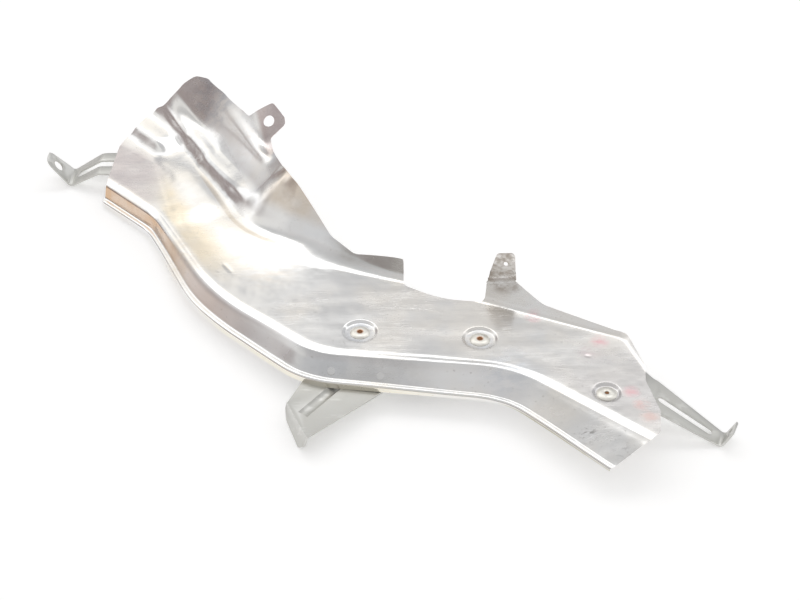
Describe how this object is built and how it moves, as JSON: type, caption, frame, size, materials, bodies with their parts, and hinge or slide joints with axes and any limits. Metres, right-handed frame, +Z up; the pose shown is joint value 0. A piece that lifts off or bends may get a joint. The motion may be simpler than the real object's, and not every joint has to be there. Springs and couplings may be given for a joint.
{
  "type": "heat shield",
  "caption": "Pressed aluminium engine heat shield with a folded S-shaped front edge, an upturned ribbed wing, and riveted strap brackets.",
  "frame": {"origin": "middle of the shield's floor area, on the ground plane under its three bracket feet", "axes": "+X along the shield's longest side from the left strap to the right strap, +Y to the wing's side, +Z up from the ground"},
  "size_m": [0.4958, 0.3876, 0.0645],
  "materials": {
    "shield": "bright rolled sheet with light stains and scuffs",
    "bracket": "dull coated steel strap",
    "rivet": "satin rivet bodies",
    "mandrel": "rusty broken mandrel ends"
  },
  "bodies": {
    "root": {"shield_panel": "shield", "left_bracket": "bracket", "right_bracket": "bracket", "lower_bracket": "bracket", "rivet_bodies": "rivet", "rivet_mandrels": "mandrel"}
  },
  "joints": []
}
